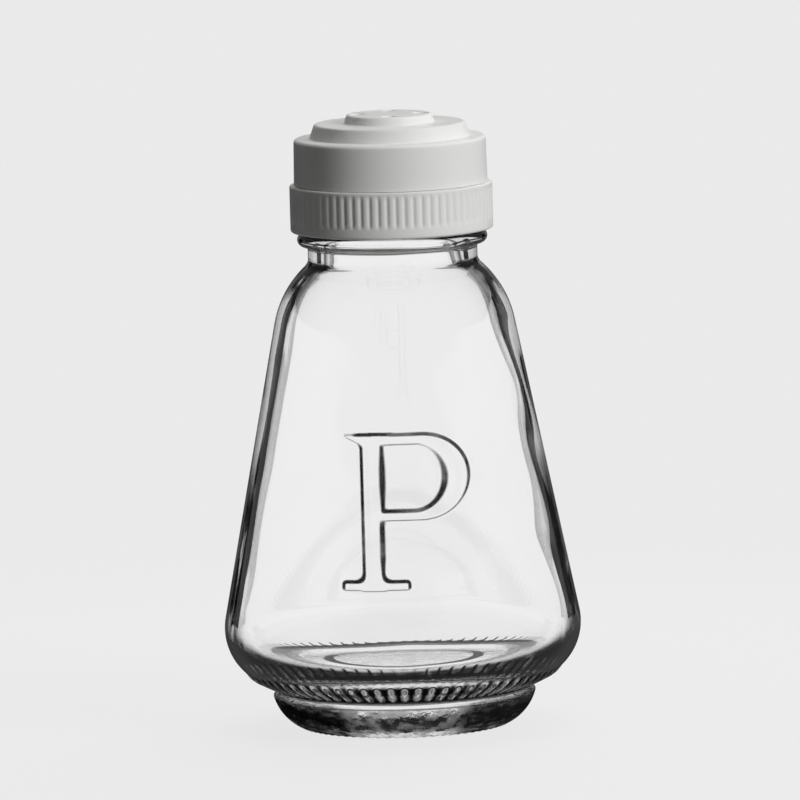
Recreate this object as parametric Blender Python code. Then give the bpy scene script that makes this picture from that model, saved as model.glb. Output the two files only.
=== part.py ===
"""Pepper shaker: a heavy conical glass bottle closed by a screw ring and a twist-to-open head.

Metres, +Z up. The origin is on the table, on the axis of the bottle, and -Y is the front.
A profile is a list of (radius, height) points that is spun round +Z. The pieces of the
dispenser hang from an empty on that axis at the bottle's lip, so their heights count from it.
"""

import math

import bmesh
import bpy
from mathutils import Matrix

MM = 0.001
GAP = 0.3 * MM  # clearance between two pieces that seat on each other

# Bottle: base and foot
STAND_INNER_RADIUS = 14.6 * MM
STAND_OUTER_RADIUS = 18.2 * MM
PUSH_UP_RADIUS = 13.2 * MM
PUSH_UP_HEIGHT = 2.2 * MM
PUSH_UP_EDGE_HEIGHT = 1.5 * MM
FOOT_RADIUS = 23.0 * MM
FOOT_HEIGHT = 5.6 * MM
FOOT_BULGE = 0.85 * MM
FOOT_EDGE = 0.35 * MM
GROOVE_RADIUS = 21.8 * MM
GROOVE_HEIGHT = 6.4 * MM

# Bottle: heel, cone and shoulder
BODY_RADIUS = 31.2 * MM
BODY_HEIGHT = 17.5 * MM  # height of the widest place
HEEL_ROUND = 10.0 * MM
HEEL_UNDERCUT = 64.0  # degrees that the heel turns in below the widest place
HEEL_END_RADIUS = 22.6 * MM
CONE_ANGLE = 11.0  # degrees from the vertical
SHOULDER_HEIGHT = 71.0 * MM
SHOULDER_ROUND = 18.0 * MM
SHOULDER_END = 48.0  # degrees
WALL = 2.9 * MM

# Bottle: neck and finish
NECK_RADIUS = 14.8 * MM
NECK_FOOT_HEIGHT = 82.0 * MM
BEAD_RADIUS = 16.6 * MM
BEAD_HEIGHT = 85.65 * MM
BEAD_ROUND = 1.1 * MM
THREAD_ROOT_RADIUS = 14.7 * MM
THREAD_TOP_HEIGHT = 93.2 * MM
LAND_RADIUS = 14.2 * MM
LAND_STEP = 0.4 * MM
LIP_HEIGHT = 96.0 * MM
LIP_ROUND = 0.6 * MM
BORE_RADIUS = 11.2 * MM
BORE_FOOT_HEIGHT = 81.8 * MM
BORE_FLARE = 0.3 * MM

# Bottle: moulded ribs on the underside of the heel
HEEL_RIBS = 72
HEEL_RIB_RISE = 0.4 * MM
HEEL_RIB_SINK = 0.4 * MM
HEEL_RIB_HALF_ANGLE = 1.7  # degrees
HEEL_RIB_TOP = 38.0  # degrees below the widest place

# Dispenser stack, counted up from the lip of the bottle
SEAL_THICKNESS = 0.9 * MM
SEAL_INNER_RADIUS = 11.4 * MM
SEAL_OUTER_RADIUS = 14.0 * MM
FLANGE_THICKNESS = 1.0 * MM
FLANGE_BASE = GAP + SEAL_THICKNESS + GAP
CLAMP_BASE = FLANGE_BASE + FLANGE_THICKNESS + GAP
CLAMP_THICKNESS = 1.0 * MM
HEAD_CEILING = 8.6 * MM

# Sifter insert
PLUG_RADIUS = BORE_RADIUS - GAP
PLUG_DEPTH = 3.6 * MM
PLUG_LEAD = 0.5 * MM
SIFTER_WALL = 1.0 * MM
TURRET_RADIUS = 12.3 * MM
DECK_THICKNESS = 2.0 * MM

# Screw ring
RING_RADIUS = 17.7 * MM
RING_BASE = BEAD_HEIGHT + BEAD_ROUND + GAP - LIP_HEIGHT
RING_TOP = -0.8 * MM
RING_EDGE = 0.45 * MM
RING_BORE_RADIUS = 16.2 * MM
WEB_THICKNESS = 1.2 * MM
SPIGOT_RADIUS = 15.6 * MM
SPIGOT_BORE_RADIUS = LAND_RADIUS + GAP
SNAP_GROOVE_DEPTH = 0.6 * MM
SNAP_GROOVE_BASE = 0.1 * MM
SNAP_GROOVE_HEIGHT = 1.2 * MM
GRIP_GROOVES = 72
GRIP_GROOVE_DEPTH = 0.45 * MM
GRIP_GROOVE_WIDTH = 0.9 * MM
GRIP_BASE = -6.9 * MM
GRIP_TOP = -1.6 * MM

# Twist head
HEAD_BASE = RING_TOP + GAP
HEAD_FOOT_RADIUS = 16.9 * MM
HEAD_RIM_RADIUS = 16.75 * MM
HEAD_BORE_RADIUS = SPIGOT_RADIUS + GAP
LEDGE_HEIGHT = 7.3 * MM
LEDGE_THICKNESS = 1.2 * MM
STEP_FOOT_RADIUS = 14.0 * MM
STEP_TOP_RADIUS = 13.1 * MM
STEP_HEIGHT = 9.8 * MM
BOSS_FOOT_RADIUS = 7.9 * MM
BOSS_TOP_RADIUS = 7.4 * MM
BOSS_HEIGHT = 11.3 * MM
HEAD_EDGE = 0.3 * MM
SNAP_BEAD_RISE = 0.6 * MM
SNAP_BEAD_HEIGHT = 0.6 * MM

# Shaker holes, and the stop that lets the head turn from shut to open
HOLES = 4
HOLE_RADIUS = 1.2 * MM
HOLE_PITCH_RADIUS = 5.5 * MM
OPENING_TURN = 45.0  # degrees
STOP_RADIUS = 9.6 * MM
STOP_WIDTH = 1.6 * MM
STOP_DEPTH = 0.7 * MM
STOP_HALF_ANGLE = 6.0  # degrees
STOP_PLAY = 1.8  # degrees

# Facets round the axis
BOTTLE_SIDES = 56
RING_SIDES = 72
HEAD_SIDES = 60
INNER_SIDES = 48
HOLE_SIDES = 14


def arc(centre, radius, start, end, steps):
    """Points of a circle in the profile plane, from start to end degrees above the outward axis."""
    angles = [math.radians(start + (end - start) * step / steps) for step in range(steps + 1)]
    return [(centre[0] + radius * math.cos(a), centre[1] + radius * math.sin(a)) for a in angles]


def bulged(start, end, bulge, steps):
    """Points of the circle through start and end that stands out to the right by bulge halfway."""
    run, rise = end[0] - start[0], end[1] - start[1]
    chord = math.hypot(run, rise)
    radius = chord * chord / (8 * bulge) + bulge / 2
    across = (rise / chord, -run / chord)
    centre = [(a + b) / 2 - side * (radius - bulge) for a, b, side in zip(start, end, across)]
    half = math.degrees(math.asin(chord / (2 * radius)))
    facing = math.degrees(math.atan2(across[1], across[0]))
    return arc(centre, radius, facing - half, facing + half, steps)


def turned(name, profile, sides, closed=False):
    """A mesh spun round Z. An open profile starts and ends on the axis."""
    bm = bmesh.new()
    points = [bm.verts.new((radius, 0.0, height)) for radius, height in profile]
    ends = points[1:] + points[:1] if closed else points[1:]
    edges = [bm.edges.new(pair) for pair in zip(points, ends)]
    bmesh.ops.spin(bm, geom=points + edges, axis=(0, 0, 1), angle=math.tau, steps=sides)
    return closed_mesh(name, bm)


def sector(name, inner, outer, low, high, start, end, steps):
    """A mesh of a rectangle swept round Z from start to end degrees."""
    bm = bmesh.new()
    corners = ((inner, low), (outer, low), (outer, high), (inner, high))
    face = bm.faces.new([bm.verts.new((radius, 0.0, height)) for radius, height in corners])
    bmesh.ops.rotate(bm, verts=bm.verts, matrix=Matrix.Rotation(math.radians(start), 3, "Z"))
    sweep = math.radians(end - start)
    bmesh.ops.spin(bm, geom=[face], axis=(0, 0, 1), angle=sweep, steps=steps)
    return closed_mesh(name, bm)


def lofted(bm, rings):
    """Adds a closed body through rings of points that have the same number of points."""
    loops = [[bm.verts.new(point) for point in ring] for ring in rings]
    for loop, following in zip(loops, loops[1:]):
        for here, beside in zip(range(len(loop)), list(range(1, len(loop))) + [0]):
            bm.faces.new((loop[here], loop[beside], following[beside], following[here]))
    bm.faces.new(loops[0])
    bm.faces.new(loops[-1])


def closed_mesh(name, bm):
    """Welds the seams, turns every face outwards and hands back a smooth-shaded mesh."""
    bmesh.ops.remove_doubles(bm, verts=bm.verts, dist=0.002 * MM)
    bmesh.ops.recalc_face_normals(bm, faces=bm.faces)
    mesh = bpy.data.meshes.new(name)
    bm.to_mesh(mesh)
    bm.free()
    mesh.shade_smooth()
    mesh.set_sharp_from_angle(angle=math.radians(30))
    return mesh


def finish(name, colour, roughness, transmission=0.0):
    """A material with the piece's own colour and gloss."""
    material = bpy.data.materials.new(name)
    material.use_nodes = True
    shader = material.node_tree.nodes["Principled BSDF"]
    shader.inputs["Base Color"].default_value = (*colour, 1.0)
    shader.inputs["Roughness"].default_value = roughness
    shader.inputs["Metallic"].default_value = 0.0
    shader.inputs["Transmission Weight"].default_value = transmission
    return material


def place(mesh, parent=None, material=None):
    """Puts a mesh in the scene. Without a material it is a tool for a Boolean."""
    body = bpy.data.objects.new(mesh.name, mesh)
    bpy.context.scene.collection.objects.link(body)
    body.parent = parent
    if material:
        mesh.materials.append(material)
    else:
        body.hide_render = True
        body.display_type = "WIRE"
    return body


def combine(body, tool, operation):
    """Cuts a tool from a body or joins it to the body."""
    boolean = body.modifiers.new(tool.name, "BOOLEAN")
    boolean.operation = operation
    boolean.solver = "EXACT"
    boolean.object = tool


def heel_centre():
    return (BODY_RADIUS - HEEL_ROUND, BODY_HEIGHT)


def shoulder_centre():
    """Centre of the circle that carries the cone on into the shoulder."""
    slope = math.radians(CONE_ANGLE)
    foot = arc(heel_centre(), HEEL_ROUND, CONE_ANGLE, CONE_ANGLE, 1)[0]
    radius = foot[0] - (SHOULDER_HEIGHT - foot[1]) * math.tan(slope)
    return (
        radius - SHOULDER_ROUND * math.cos(slope),
        SHOULDER_HEIGHT - SHOULDER_ROUND * math.sin(slope),
    )


def heel_underside(steps):
    """The heel from where its straight lower end leaves the groove up to the ribs' upper end."""
    curve = arc(heel_centre(), HEEL_ROUND, -HEEL_UNDERCUT, -HEEL_RIB_TOP, steps)
    start = curve[0]
    slope = math.tan(math.radians(90 - HEEL_UNDERCUT))
    groove_end = (HEEL_END_RADIUS, start[1] - (start[0] - HEEL_END_RADIUS) * slope)
    return [groove_end] + curve


def bottle_profile():
    """From the middle of the push-up, out and up the outside, over the lip and down the inside."""
    underside = [
        (0.0, PUSH_UP_HEIGHT),
        (PUSH_UP_RADIUS, PUSH_UP_EDGE_HEIGHT),
        (STAND_INNER_RADIUS, 0.0),
    ]
    foot = bulged((STAND_OUTER_RADIUS, 0.0), (FOOT_RADIUS, FOOT_HEIGHT), FOOT_BULGE, 3)
    foot.append((FOOT_RADIUS - FOOT_EDGE, FOOT_HEIGHT + FOOT_EDGE))
    groove = [(GROOVE_RADIUS, GROOVE_HEIGHT)]
    heel = heel_underside(2) + arc(heel_centre(), HEEL_ROUND, -HEEL_RIB_TOP, CONE_ANGLE, 4)[1:]
    shoulder = arc(shoulder_centre(), SHOULDER_ROUND, CONE_ANGLE, SHOULDER_END, 4)
    bead_centre = (BEAD_RADIUS - BEAD_ROUND, BEAD_HEIGHT)
    neck = [(NECK_RADIUS, NECK_FOOT_HEIGHT)]
    neck.append((NECK_RADIUS, BEAD_HEIGHT - BEAD_RADIUS + NECK_RADIUS))
    neck += arc(bead_centre, BEAD_ROUND, -90, 90, 4)
    lip = [
        (THREAD_ROOT_RADIUS, BEAD_HEIGHT + BEAD_ROUND),
        (THREAD_ROOT_RADIUS, THREAD_TOP_HEIGHT),
        (LAND_RADIUS, THREAD_TOP_HEIGHT + LAND_STEP),
        (LAND_RADIUS, LIP_HEIGHT - LIP_ROUND),
        (LAND_RADIUS - LIP_ROUND, LIP_HEIGHT),
        (BORE_RADIUS + LIP_ROUND, LIP_HEIGHT),
        (BORE_RADIUS, LIP_HEIGHT - LIP_ROUND),
    ]
    inner_shoulder = arc(shoulder_centre(), SHOULDER_ROUND - WALL, SHOULDER_END, CONE_ANGLE, 3)
    bore_end = (inner_shoulder[0][0] - BORE_RADIUS) * math.tan(math.radians(90 - SHOULDER_END))
    bore = [
        (BORE_RADIUS, BORE_FOOT_HEIGHT),
        (BORE_RADIUS + BORE_FLARE, inner_shoulder[0][1] + bore_end),
    ]
    inner_heel = arc(heel_centre(), HEEL_ROUND - WALL, CONE_ANGLE, -90, 5)
    floor = [(0.0, inner_heel[-1][1])]
    outside = underside + foot + groove + heel + shoulder + neck
    return outside + lip + bore + inner_shoulder + inner_heel + floor


def heel_rib_mesh():
    """Short ribs that run down the underside of the heel into the groove above the foot."""
    stations = heel_underside(2)
    centre = heel_centre()
    bm = bmesh.new()
    for rib in range(HEEL_RIBS):
        middle = math.tau * rib / HEEL_RIBS
        rings = []
        for index, (radius, height) in enumerate(stations):
            facing = math.atan2(height - centre[1], radius - centre[0])
            out = (math.cos(facing), math.sin(facing))
            rise = HEEL_RIB_RISE if 0 < index < len(stations) - 1 else -HEEL_RIB_SINK / 2
            ring = []
            for side, lift in ((-1, -HEEL_RIB_SINK), (0, rise), (1, -HEEL_RIB_SINK)):
                turn = middle + math.radians(side * HEEL_RIB_HALF_ANGLE)
                far, high = radius + out[0] * lift, height + out[1] * lift
                ring.append((far * math.cos(turn), far * math.sin(turn), high))
            rings.append(ring)
        lofted(bm, rings)
    return closed_mesh("heel_rib_tool", bm)


def make_bottle():
    clear_glass = finish("clear_glass", (0.95, 0.97, 0.96), 0.02, transmission=1.0)
    bottle = place(turned("glass_bottle", bottle_profile(), BOTTLE_SIDES), material=clear_glass)
    combine(bottle, place(heel_rib_mesh()), "UNION")


def make_seal(axis):
    """A foamed washer between the lip of the bottle and the flange of the sifter."""
    profile = [
        (SEAL_INNER_RADIUS, GAP),
        (SEAL_OUTER_RADIUS, GAP),
        (SEAL_OUTER_RADIUS, GAP + SEAL_THICKNESS),
        (SEAL_INNER_RADIUS, GAP + SEAL_THICKNESS),
    ]
    foam = finish("foamed_liner", (0.74, 0.76, 0.74), 0.8)
    place(turned("lip_seal", profile, INNER_SIDES, closed=True), axis, foam)


def hole_mesh(name, base, top, turn):
    """Round tools for the shaker holes, turned by the given degrees."""
    bm = bmesh.new()
    for hole in range(HOLES):
        around = math.radians(turn + 360 * hole / HOLES)
        middle = (HOLE_PITCH_RADIUS * math.cos(around), HOLE_PITCH_RADIUS * math.sin(around))
        rings = []
        for height in (base, top):
            ring = [
                (middle[0] + HOLE_RADIUS * math.cos(a), middle[1] + HOLE_RADIUS * math.sin(a), height)
                for a in (math.tau * side / HOLE_SIDES for side in range(HOLE_SIDES))
            ]
            rings.append(ring)
        lofted(bm, rings)
    return closed_mesh(name, bm)


def make_sifter(axis):
    """A plug, a clamped flange and a turret whose deck has holes and a blind slot for the stop."""
    deck_top = HEAD_CEILING - GAP
    deck_base = deck_top - DECK_THICKNESS
    flange_top = FLANGE_BASE + FLANGE_THICKNESS
    profile = [
        (0.0, deck_top),
        (TURRET_RADIUS - HEAD_EDGE, deck_top),
        (TURRET_RADIUS, deck_top - HEAD_EDGE),
        (TURRET_RADIUS, flange_top),
        (LAND_RADIUS, flange_top),
        (LAND_RADIUS, FLANGE_BASE),
        (PLUG_RADIUS, FLANGE_BASE),
        (PLUG_RADIUS, PLUG_LEAD - PLUG_DEPTH),
        (PLUG_RADIUS - PLUG_LEAD, -PLUG_DEPTH),
        (PLUG_RADIUS - SIFTER_WALL, -PLUG_DEPTH),
        (PLUG_RADIUS - SIFTER_WALL, FLANGE_BASE),
        (TURRET_RADIUS - SIFTER_WALL, flange_top),
        (TURRET_RADIUS - SIFTER_WALL, deck_base),
        (0.0, deck_base),
    ]
    natural = finish("natural_polythene", (0.78, 0.79, 0.76), 0.45)
    sifter = place(turned("sifter_insert", profile, INNER_SIDES), axis, natural)
    holes = hole_mesh("sifter_hole_tool", deck_base - DECK_THICKNESS, deck_top + GAP, OPENING_TURN)
    combine(sifter, place(holes, axis), "DIFFERENCE")
    reach = STOP_HALF_ANGLE + STOP_PLAY
    slot = sector(
        "stop_slot_tool",
        STOP_RADIUS - STOP_WIDTH / 2 - GAP,
        STOP_RADIUS + STOP_WIDTH / 2 + GAP,
        HEAD_CEILING - STOP_DEPTH - 2 * GAP,
        HEAD_CEILING,
        -reach,
        OPENING_TURN + reach,
        12,
    )
    combine(sifter, place(slot, axis), "DIFFERENCE")


def grip_groove_mesh():
    """Upright V-grooves round the ring, cut between its facets' edges."""
    half = math.asin(GRIP_GROOVE_WIDTH / 2 / RING_RADIUS)
    root = RING_RADIUS - GRIP_GROOVE_DEPTH
    mouth = RING_RADIUS + GRIP_GROOVE_DEPTH
    corners = ((root, 0.0), (mouth, 2 * half), (mouth, -2 * half))
    bm = bmesh.new()
    for groove in range(GRIP_GROOVES):
        middle = math.tau * (groove + 0.5) / GRIP_GROOVES
        rings = [
            [(r * math.cos(middle + a), r * math.sin(middle + a), height) for r, a in corners]
            for height in (GRIP_BASE, GRIP_TOP)
        ]
        lofted(bm, rings)
    return closed_mesh("grip_groove_tool", bm)


def make_ring(axis):
    """A threaded skirt, a web, and a spigot whose flange clamps the sifter down on the lip."""
    clamp_top = CLAMP_BASE + CLAMP_THICKNESS
    snap_radius = SPIGOT_RADIUS - SNAP_GROOVE_DEPTH
    snap_top = SNAP_GROOVE_BASE + SNAP_GROOVE_HEIGHT
    profile = [
        (RING_BORE_RADIUS, RING_BASE),
        (RING_RADIUS - RING_EDGE, RING_BASE),
        (RING_RADIUS, RING_BASE + RING_EDGE),
        (RING_RADIUS, RING_TOP - RING_EDGE),
        (RING_RADIUS - RING_EDGE, RING_TOP),
        (SPIGOT_RADIUS, RING_TOP),
        (SPIGOT_RADIUS, SNAP_GROOVE_BASE - GAP),
        (snap_radius, SNAP_GROOVE_BASE),
        (snap_radius, snap_top),
        (SPIGOT_RADIUS, snap_top + GAP),
        (SPIGOT_RADIUS, clamp_top - HEAD_EDGE),
        (SPIGOT_RADIUS - HEAD_EDGE, clamp_top),
        (TURRET_RADIUS + GAP, clamp_top),
        (TURRET_RADIUS + GAP, CLAMP_BASE),
        (SPIGOT_BORE_RADIUS, CLAMP_BASE),
        (SPIGOT_BORE_RADIUS, RING_TOP - WEB_THICKNESS),
        (RING_BORE_RADIUS, RING_TOP - WEB_THICKNESS),
    ]
    white = finish("ring_polypropylene", (0.83, 0.83, 0.81), 0.35)
    ring = place(turned("screw_ring", profile, RING_SIDES, closed=True), axis, white)
    combine(ring, place(grip_groove_mesh(), axis), "DIFFERENCE")


def make_head(axis):
    """A drum that snaps over the spigot, with a stepped top, a drilled boss and a stop lug."""
    snap_base = SNAP_GROOVE_BASE + (SNAP_GROOVE_HEIGHT - SNAP_BEAD_HEIGHT) / 2
    snap_slope = SNAP_BEAD_RISE - HEAD_EDGE / 2
    profile = [
        (0.0, BOSS_HEIGHT),
        (BOSS_TOP_RADIUS - HEAD_EDGE, BOSS_HEIGHT),
        (BOSS_TOP_RADIUS, BOSS_HEIGHT - HEAD_EDGE),
        (BOSS_FOOT_RADIUS, STEP_HEIGHT),
        (STEP_TOP_RADIUS - HEAD_EDGE, STEP_HEIGHT),
        (STEP_TOP_RADIUS, STEP_HEIGHT - HEAD_EDGE),
        (STEP_FOOT_RADIUS, LEDGE_HEIGHT),
        (HEAD_RIM_RADIUS - HEAD_EDGE, LEDGE_HEIGHT),
        (HEAD_RIM_RADIUS, LEDGE_HEIGHT - HEAD_EDGE),
        (HEAD_FOOT_RADIUS, HEAD_BASE),
        (HEAD_BORE_RADIUS, HEAD_BASE),
        (HEAD_BORE_RADIUS, snap_base - snap_slope),
        (HEAD_BORE_RADIUS - SNAP_BEAD_RISE, snap_base),
        (HEAD_BORE_RADIUS - SNAP_BEAD_RISE, snap_base + SNAP_BEAD_HEIGHT),
        (HEAD_BORE_RADIUS, snap_base + SNAP_BEAD_HEIGHT + snap_slope),
        (HEAD_BORE_RADIUS, LEDGE_HEIGHT - LEDGE_THICKNESS),
        (TURRET_RADIUS + GAP, LEDGE_HEIGHT - LEDGE_THICKNESS),
        (TURRET_RADIUS + GAP, HEAD_CEILING),
        (0.0, HEAD_CEILING),
    ]
    white = finish("head_polypropylene", (0.85, 0.85, 0.83), 0.32)
    head = place(turned("twist_head", profile, HEAD_SIDES), axis, white)
    lug = sector(
        "stop_lug_tool",
        STOP_RADIUS - STOP_WIDTH / 2,
        STOP_RADIUS + STOP_WIDTH / 2,
        HEAD_CEILING - STOP_DEPTH,
        HEAD_CEILING + STOP_DEPTH,
        -STOP_HALF_ANGLE,
        STOP_HALF_ANGLE,
        4,
    )
    combine(head, place(lug, axis), "UNION")
    holes = hole_mesh("head_hole_tool", HEAD_CEILING - GAP, BOSS_HEIGHT + GAP, 0.0)
    combine(head, place(holes, axis), "DIFFERENCE")


def main():
    for old in list(bpy.data.objects):
        bpy.data.objects.remove(old, do_unlink=True)
    make_bottle()
    axis = bpy.data.objects.new("dispenser_axis", None)
    bpy.context.scene.collection.objects.link(axis)
    axis.location = (0.0, 0.0, LIP_HEIGHT)
    make_seal(axis)
    make_sifter(axis)
    make_ring(axis)
    make_head(axis)


main()
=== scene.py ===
"""Looks of the pepper shaker: finer meshes for the frame's five pieces, their finishes and a studio.

Metres, +Z up, in the frame's own place: the shaker stands on z = 0 and its front is towards -Y.
Sizes of the pieces are named in millimetres and degrees. Profiles are (radius, height) points in
millimetres, listed so that the solid is on their left.
"""

import math

import bpy
import numpy as np
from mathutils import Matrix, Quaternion, Vector


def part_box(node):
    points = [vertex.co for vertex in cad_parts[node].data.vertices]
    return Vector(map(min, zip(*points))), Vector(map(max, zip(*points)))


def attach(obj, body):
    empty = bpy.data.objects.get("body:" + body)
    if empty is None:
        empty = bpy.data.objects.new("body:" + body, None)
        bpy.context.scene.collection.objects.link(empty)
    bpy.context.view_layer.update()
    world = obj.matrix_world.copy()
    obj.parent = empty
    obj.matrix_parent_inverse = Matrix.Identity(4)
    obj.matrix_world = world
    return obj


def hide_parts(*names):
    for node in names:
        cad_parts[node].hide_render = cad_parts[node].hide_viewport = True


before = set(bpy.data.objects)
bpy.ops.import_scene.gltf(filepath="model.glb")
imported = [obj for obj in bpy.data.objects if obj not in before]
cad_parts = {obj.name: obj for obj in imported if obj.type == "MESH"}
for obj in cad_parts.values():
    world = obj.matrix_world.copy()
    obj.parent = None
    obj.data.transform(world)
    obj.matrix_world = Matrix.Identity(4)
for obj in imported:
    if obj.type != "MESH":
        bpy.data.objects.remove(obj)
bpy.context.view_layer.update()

MM = 0.001


def node_box(name):
    """Lowest and highest corner of a solid of the frame, in millimetres."""
    return [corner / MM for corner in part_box(name)]


_, bottle_high = node_box("glass_bottle")
ring_low, ring_high = node_box("screw_ring")
_, head_high = node_box("twist_head")
sifter_low, sifter_high = node_box("sifter_insert")
seal_low, seal_high = node_box("lip_seal")

# Bottle
BODY_RADIUS = bottle_high.x
LIP_HEIGHT, LIP_ROUND = bottle_high.z, 0.9
STAND_INNER, STAND_OUTER = 14.6, 18.2
PUSH_UP_RADIUS, PUSH_UP_EDGE, PUSH_UP_HEIGHT = 13.2, 1.5, 2.2
FOOT_RADIUS, FOOT_HEIGHT, FOOT_BULGE = 23.0, 5.6, 0.85
GROOVE_RADIUS, GROOVE_HEIGHT = 21.8, 6.4
HEEL_ROUND, HEEL_HEIGHT, HEEL_UNDERCUT = 10.0, 17.5, 64.0
HEEL_MIDDLE = (BODY_RADIUS - HEEL_ROUND, HEEL_HEIGHT)
HEEL_END_RADIUS, RIBBED_HEEL_END = 22.6, -32.0
CONE_ANGLE = 11.0
SHOULDER_HEIGHT, SHOULDER_ROUND, SHOULDER_END = 71.0, 18.0, 48.0
WALL = 2.9
INNER_FLOOR, BOWL_REACH, BOWL_STEP = 10.4, 11.4, 2.0
NECK_RADIUS, NECK_FOOT, NECK_ROUND = 14.8, 81.75, 1.4
BEAD_RADIUS, BEAD_HEIGHT, BEAD_ROUND, BEAD_START = 16.6, 85.65, 1.1, -78.0
THREAD_ROOT, THREAD_TOP = 14.7, 93.2
LAND_RADIUS = 14.2
BORE_RADIUS, BORE_DEPTH, BORE_FOOT, BORE_ROUND = 11.2, 6.0, 81.2, 2.0
PLAIN_TURNS, FINISH_TURNS = 144, 150
FINE_STEP, COARSE_STEP = 0.45, 3.0

# Ribs of the heel, and where the valleys between them get painted shade
RIB_COUNT, RIB_RISE, RIB_FADE, RIB_WIDTH = 72, 0.36, 1.3, 0.72
RIB_LOW, RIB_HIGH = 5.8, 10.3
VALLEY_SHARE, VALLEY_SOFT = 0.35, 0.3
VALLEY_LOW, VALLEY_LOW_FADE, VALLEY_HIGH, VALLEY_HIGH_FADE = 6.3, 0.3, 10.6, 0.5
VALLEY_FLOOR, VALLEY_FLOOR_FADE = 7.7, 0.5
VALLEY_STEP, VALLEY_RADII = 9.5, (21.5, 26.0)

# Moulding notches under the foot
NOTCH_COUNT, NOTCH_DEPTH, NOTCH_FADE, NOTCH_WIDTH = 72, 0.22, 0.5, 0.7
NOTCH_LOW, NOTCH_HIGH, NOTCH_RADIUS = -0.6, 1.0, 17.6

# Swells of the inner wall: share, waves round the bottle, twist per millimetre of height and start
SWELL_RISE = 0.14
SWELLS = ((0.5, 3, 0.11, 0.7), (0.35, 5, -0.19, 2.1), (0.3, 9, 0.33, 4.0))
SWELL_LOW, SWELL_LOW_FADE, SWELL_HIGH, SWELL_HIGH_FADE = 13.0, 10.0, 78.0, 8.0

# Glass: shares of painted shade (near black) that stand in for light real glass loses, and the heights or
# radii where its looks change
GLASS_IOR = 1.52
THROWN_BACK = 1.0 - math.sqrt(1.0 - 1.0 / GLASS_IOR**2)
WALL_SHADE, LEVEL_FACE_SHADE, FOOT_SHADE, EDGE_SHADE = 0.975, 0.12, 0.1, 0.8
LETTER_SHADE, RIB_SHADE, RING_SHADE, FOOT_EDGE_SHADE = 0.97, 0.98, 0.98, 0.97
FOOT_FADE, STREAK_FADE, GAP_FADE = (5.4, 6.2), (15.0, 19.0), (38.0, 52.0)
GROOVE_MARK, SHOULDER_MARK = (6.6, 8.3, 0.2), (76.5, 80.0, 2.5)
HOLLOW_MARK, HOLLOW_TOP = (12.8, 14.4, 0.3), (1.7, 1.9)
FLOOR_TILT = (0.83, 0.89)
SKIM_START, SKIM_LATER, SKIM_END = 0.64, 0.16, 0.97
STREAK_LIGHT, STREAK_SKIM = 0.75, 0.6
NEAR_BLACK, SHADOW_GREY = 0.01, 0.9

# Screw thread of the neck and of the ring
THREAD_PITCH, THREAD_TAPER = 25.4 / 6, 0.7
NECK_THREAD_RISE, RING_THREAD_RISE = 1.1, 1.1

# Raised initial on the front, to the right of its middle and up from the table
LETTER_RISE, LETTER_WALL = 0.5, 0.52
LETTER_LOW, LETTER_HIGH = 26.6, 55.2
STEM_MIDDLE, STEM_HALF, STEM_ROUND = (-4.75, 40.8), (1.65, 12.6), 0.1
STEM_RIGHT = STEM_MIDDLE[0] + STEM_HALF[0]
STEM_SHADE_LOW, STEM_SHADE_HIGH, STEM_SHADE_FADE = 30.0, 41.0, 3.0
SERIF_LEFT, SERIF_RIGHT, SERIF_TOP = -9.1, -1.3, 53.95
SERIF_TIP, SERIF_SWELL, SERIF_TAPER = 0.2, 0.65, 2.7
BASE_MIDDLE, BASE_HALF, BASE_ROUND = (-4.3, 28.25), (5.7, 0.75), 0.5
BOWL_MIDDLE, BOWL_HALF = (4.1, 46.65), (8.0, 7.3)
COUNTER_MIDDLE, COUNTER_HALF = (2.6, 46.6), (5.35, 5.65)
MID_WALL_RADIUS, MID_WALL_HEIGHT, MID_WALL_TAPER = 29.0, 19.4, 0.195

# Screw ring
RING_RADIUS = ring_high.x
GRIP_COUNT, GRIP_DEPTH, GRIP_FADE, GRIP_WIDTH = 72, 0.2, 0.35, 0.7
GRIP_LOW, GRIP_HIGH, GRIP_RADIUS = 89.0, 94.5, 17.2
RING_SHELF, RING_CEILING = 95.2, 1.2
SKIRT_BORE, SPIGOT_BORE, SPIGOT_RADIUS = 16.2, 14.5, 15.6
SNAP_ROOT, SNAP_LOW, SNAP_HIGH, SNAP_SLOPE = 15.0, 95.8, 97.6, 0.3
CLAMP_BORE, CLAMP_THICK = 12.6, 1.0

# Twist head
HEAD_GAP, HEAD_BORE, HEAD_RECESS = 0.04, 15.9, 12.6
HEAD_SHELF, HEAD_CEILING = 102.1, 104.6
HEAD_BEAD, HEAD_BEAD_LOW, HEAD_BEAD_HIGH, HEAD_BEAD_SLOPE = 15.3, 95.95, 97.45, 0.45
LEDGE_HEIGHT, LEDGE_OUTER, LEDGE_INNER = 103.3, 16.75, 14.0
STEP_HEIGHT, STEP_OUTER, STEP_INNER = 105.8, 13.1, 7.9
BOSS_RADIUS = 7.4
HOLE_COUNT, HOLE_RADIUS, HOLE_PITCH = 4, 1.2, 5.5
HEAD_TURNS, HOLE_TURNS, SHARP_ANGLE = 180, 36, 35.0

# Sifter and seal
DECK_THICK, CUP_RADIUS, CUP_BORE = 2.0, 12.3, 11.3
PLUG_RADIUS, PLUG_BORE = 10.9, 9.9
FLANGE_LOW, FLANGE_HIGH = 97.5, 98.5
SEAL_BORE, SEAL_ROUND = 11.4, 0.12
INSERT_TURNS = 120

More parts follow.
